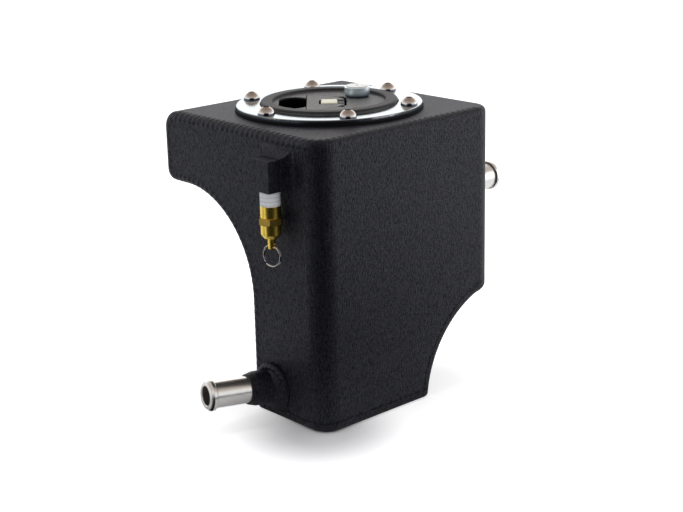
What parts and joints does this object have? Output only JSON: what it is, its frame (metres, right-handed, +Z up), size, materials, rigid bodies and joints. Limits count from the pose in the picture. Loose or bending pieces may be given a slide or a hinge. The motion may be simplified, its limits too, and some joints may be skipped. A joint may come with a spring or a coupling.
{
  "type": "coolant expansion tank",
  "caption": "Welded coolant expansion tank with two rolled recesses, a flush lever-locked filler cap, hose outlets and a pull-ring relief valve.",
  "frame": {"origin": "middle of the foot's flat underside", "axes": "+Z up; +Y from the front face, which carries the relief valve and the lower outlet, to the back; +X to the tall plain side"},
  "size_m": [0.1605, 0.2596, 0.2067],
  "materials": {
    "body_coat": "fine black texture powder coat",
    "weld_coat": "fine black texture powder coat over dressed welds",
    "tube_metal": "turned and polished",
    "ring_zinc": "bright plated",
    "neck_metal": "as turned",
    "screw_steel": "bright stainless",
    "gasket_rubber": "matt",
    "cap_plastic": "moulded black, fine grain",
    "lever_plastic": "moulded black, fine grain",
    "block_plastic": "pale natural moulding",
    "inner_steel": "satin",
    "knob_zinc": "bright plated",
    "valve_brass": "turned",
    "tape_white": "soft white thread tape",
    "ring_steel": "bright wire"
  },
  "bodies": {
    "tank": {"shell_wrap": "body_coat", "left_wall": "body_coat", "top_plate": "body_coat", "foot_plate": "body_coat", "left_arch_panel": "body_coat", "rear_arch_panel": "body_coat", "top_weld": "weld_coat", "left_arch_weld": "weld_coat", "rear_arch_weld": "weld_coat", "foot_weld": "weld_coat", "corner_welds": "weld_coat", "valve_block": "body_coat", "valve_block_weld": "weld_coat", "lower_bung": "body_coat", "lower_bung_weld": "weld_coat", "lower_hose_tube": "tube_metal", "upper_bung": "body_coat", "upper_bung_weld": "weld_coat", "upper_hose_tube": "tube_metal", "neck_ring": "neck_metal", "filler_gasket": "gasket_rubber", "flange_ring": "ring_zinc", "ring_screws": "screw_steel", "valve_body": "valve_brass", "thread_tape": "tape_white", "valve_spring": "ring_steel"},
    "cap": {"cap_body": "cap_plastic", "cap_seal": "gasket_rubber", "knob_clip": "inner_steel"},
    "clamp": {"draw_rod": "inner_steel", "cam_block": "block_plastic", "clamp_plate": "inner_steel", "clamp_nut": "screw_steel", "lever_pin": "inner_steel"},
    "lever": {"cap_lever": "lever_plastic"},
    "knob": {"bleed_knob": "knob_zinc"},
    "stem": {"valve_stem": "valve_brass", "valve_seat": "gasket_rubber"},
    "ring": {"pull_ring": "ring_steel"}
  },
  "joints": [
    {"name": "cap_lift", "type": "slide", "parent": "tank", "child": "cap", "axis": [0, 0, 1], "range_m": [0, 0.06]},
    {"name": "lever_flip", "type": "hinge", "parent": "clamp", "child": "lever", "pos_m": [-0.03774, 0.03828, 0.1972], "axis": [-0.7478, 0.6639, 0], "range_deg": [0, 90]},
    {"name": "clamp_drop", "type": "slide", "parent": "cap", "child": "clamp", "axis": [0, 0, -1], "range_m": [0, 0.0012]},
    {"name": "knob_turn", "type": "hinge", "parent": "cap", "child": "knob", "pos_m": [-0.04335, 0.05878, 0.1989], "axis": [0, 0, 1], "range_deg": [0, 90]},
    {"name": "stem_pull", "type": "slide", "parent": "tank", "child": "stem", "axis": [0, 0, -1], "range_m": [0, 0.002], "stiffness_N_per_m": 4000, "springref_m": -0.004, "deforming": ["valve_spring"]},
    {"name": "ring_swing", "type": "hinge", "parent": "stem", "child": "ring", "pos_m": [-0.0016, -0.0567, 0.1243], "axis": [0.9848, 0.1736, 0], "range_deg": [-60, 25]}
  ],
  "couplings": [
    {"joint": "lever_flip", "follows": "clamp_drop", "rad_per_m": 1309}
  ]
}
